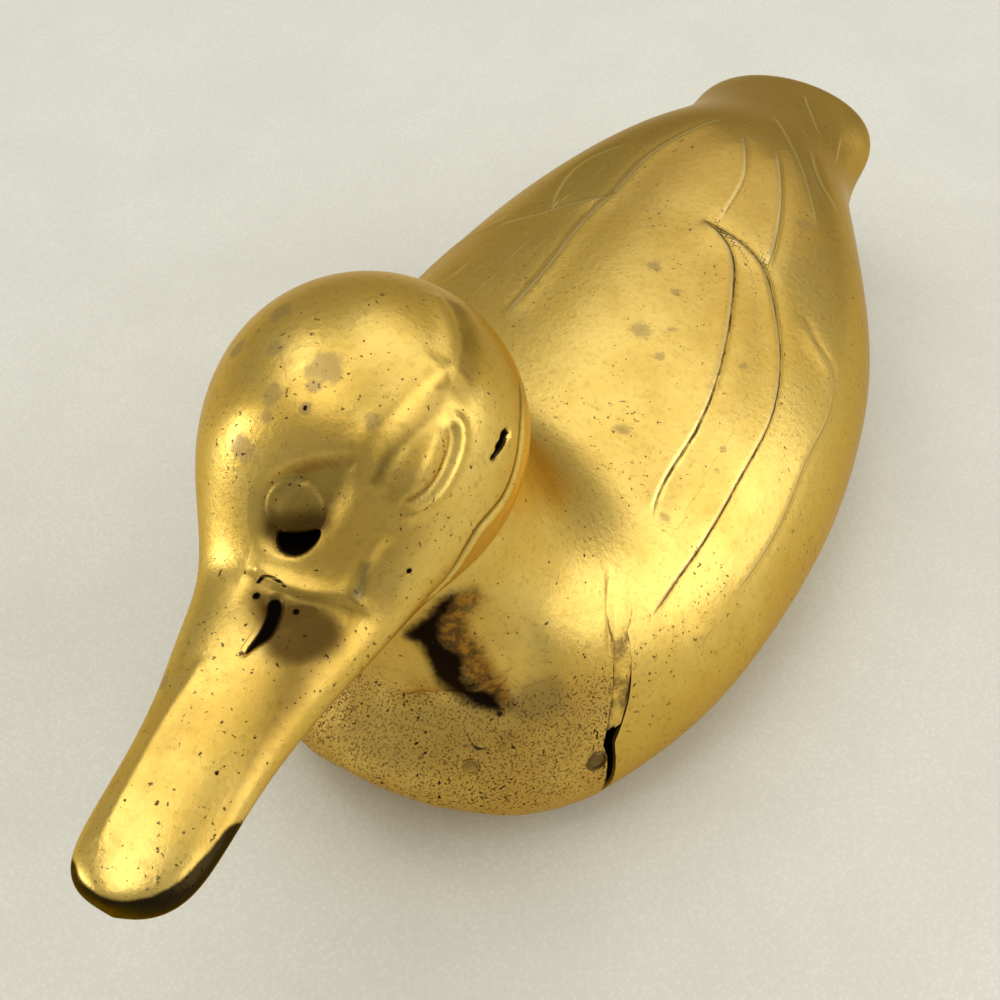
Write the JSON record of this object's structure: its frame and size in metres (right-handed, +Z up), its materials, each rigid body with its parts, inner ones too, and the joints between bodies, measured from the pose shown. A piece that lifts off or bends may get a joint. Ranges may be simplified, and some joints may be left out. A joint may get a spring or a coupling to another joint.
{
  "type": "duck figurine",
  "caption": "Hollow cast metal duck figurine that rests on a flat sole, with a round head turned slightly aside, a long flat bill and carved feather lines.",
  "frame": {"origin": "On the ground plane under the middle of the whole duck, bill tip to tail.", "axes": "+Z is up, the bill points towards -Y, the tail towards +Y and the duck's left side is +X."},
  "size_m": [0.0758, 0.18, 0.0774],
  "materials": {
    "cast_brass": "polished, aged and lightly pitted",
    "braze": "filed and burnt dark",
    "plug_brass": "filed flush and darkened"
  },
  "bodies": {
    "root": {"body_casting": "cast_brass", "breast_casting": "cast_brass", "head_casting": "cast_brass", "breast_seam_braze": "braze", "neck_seam_braze": "braze", "core_plugs": "plug_brass"}
  },
  "joints": []
}
